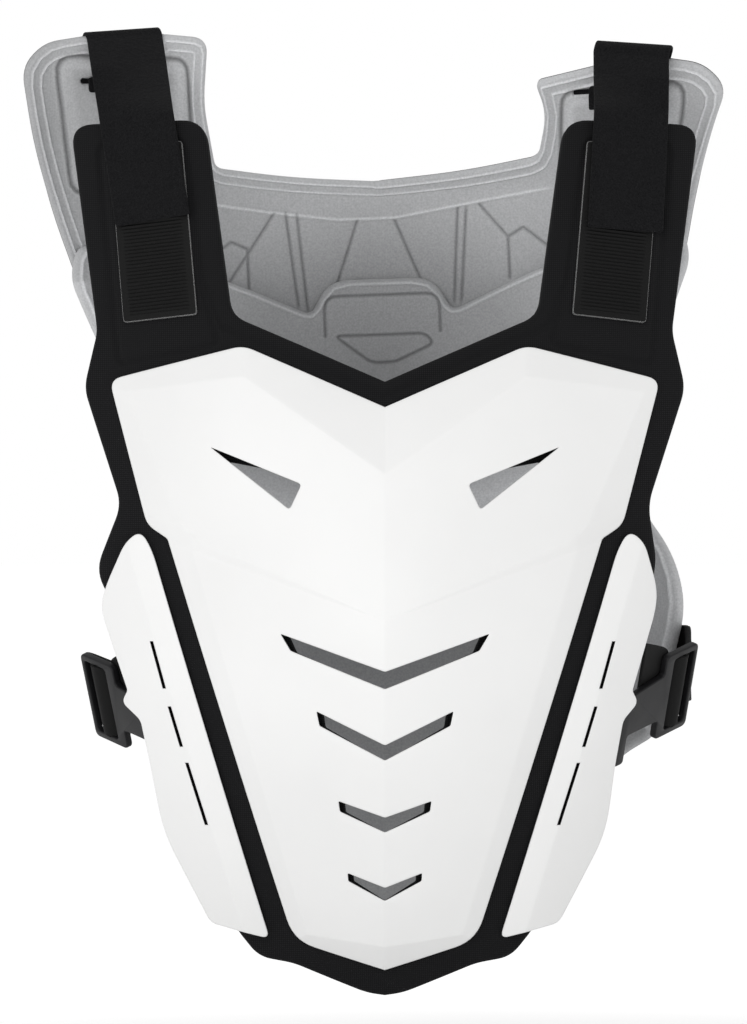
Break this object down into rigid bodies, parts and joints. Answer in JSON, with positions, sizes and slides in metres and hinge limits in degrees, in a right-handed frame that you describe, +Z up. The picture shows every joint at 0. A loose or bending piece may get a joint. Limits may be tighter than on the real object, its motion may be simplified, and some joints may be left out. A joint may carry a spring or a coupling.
{
  "type": "chest and back protector",
  "caption": "Pull-on sport body armor: vented white chest and flank shells on black foam panels, lined back panels, hook-and-loop shoulder straps and buckled waist straps.",
  "frame": {"origin": "midway between the shoulder straps, at the height where they cross the wearer's shoulders", "axes": "+Z up along the wearer's body, the chest faces -Y, +X is on the right in a front view"},
  "size_m": [0.3924, 0.2495, 0.539],
  "materials": {
    "front_foam": "black knit bonded to moulded foam, with a pale lining",
    "back_foam": "pale grey lining bonded to moulded foam, black outside",
    "white_shell": "satin white moulded shell",
    "loop_webbing": "black fuzzy loop webbing",
    "hook_tape": "black ribbed hook tape",
    "elastic_webbing": "black woven elastic",
    "dark_plastic": "dark grey moulded plastic"
  },
  "bodies": {
    "root": {"front_pad": "front_foam", "chest_plate": "white_shell", "side_plate_left": "white_shell", "side_plate_right": "white_shell", "back_yoke": "back_foam", "back_pad": "back_foam", "shoulder_strap_left": "loop_webbing", "shoulder_strap_right": "loop_webbing", "hook_patch_left": "hook_tape", "hook_patch_right": "hook_tape", "waist_strap_left": "elastic_webbing", "waist_strap_right": "elastic_webbing", "buckle_left": "dark_plastic", "buckle_right": "dark_plastic"}
  },
  "joints": []
}
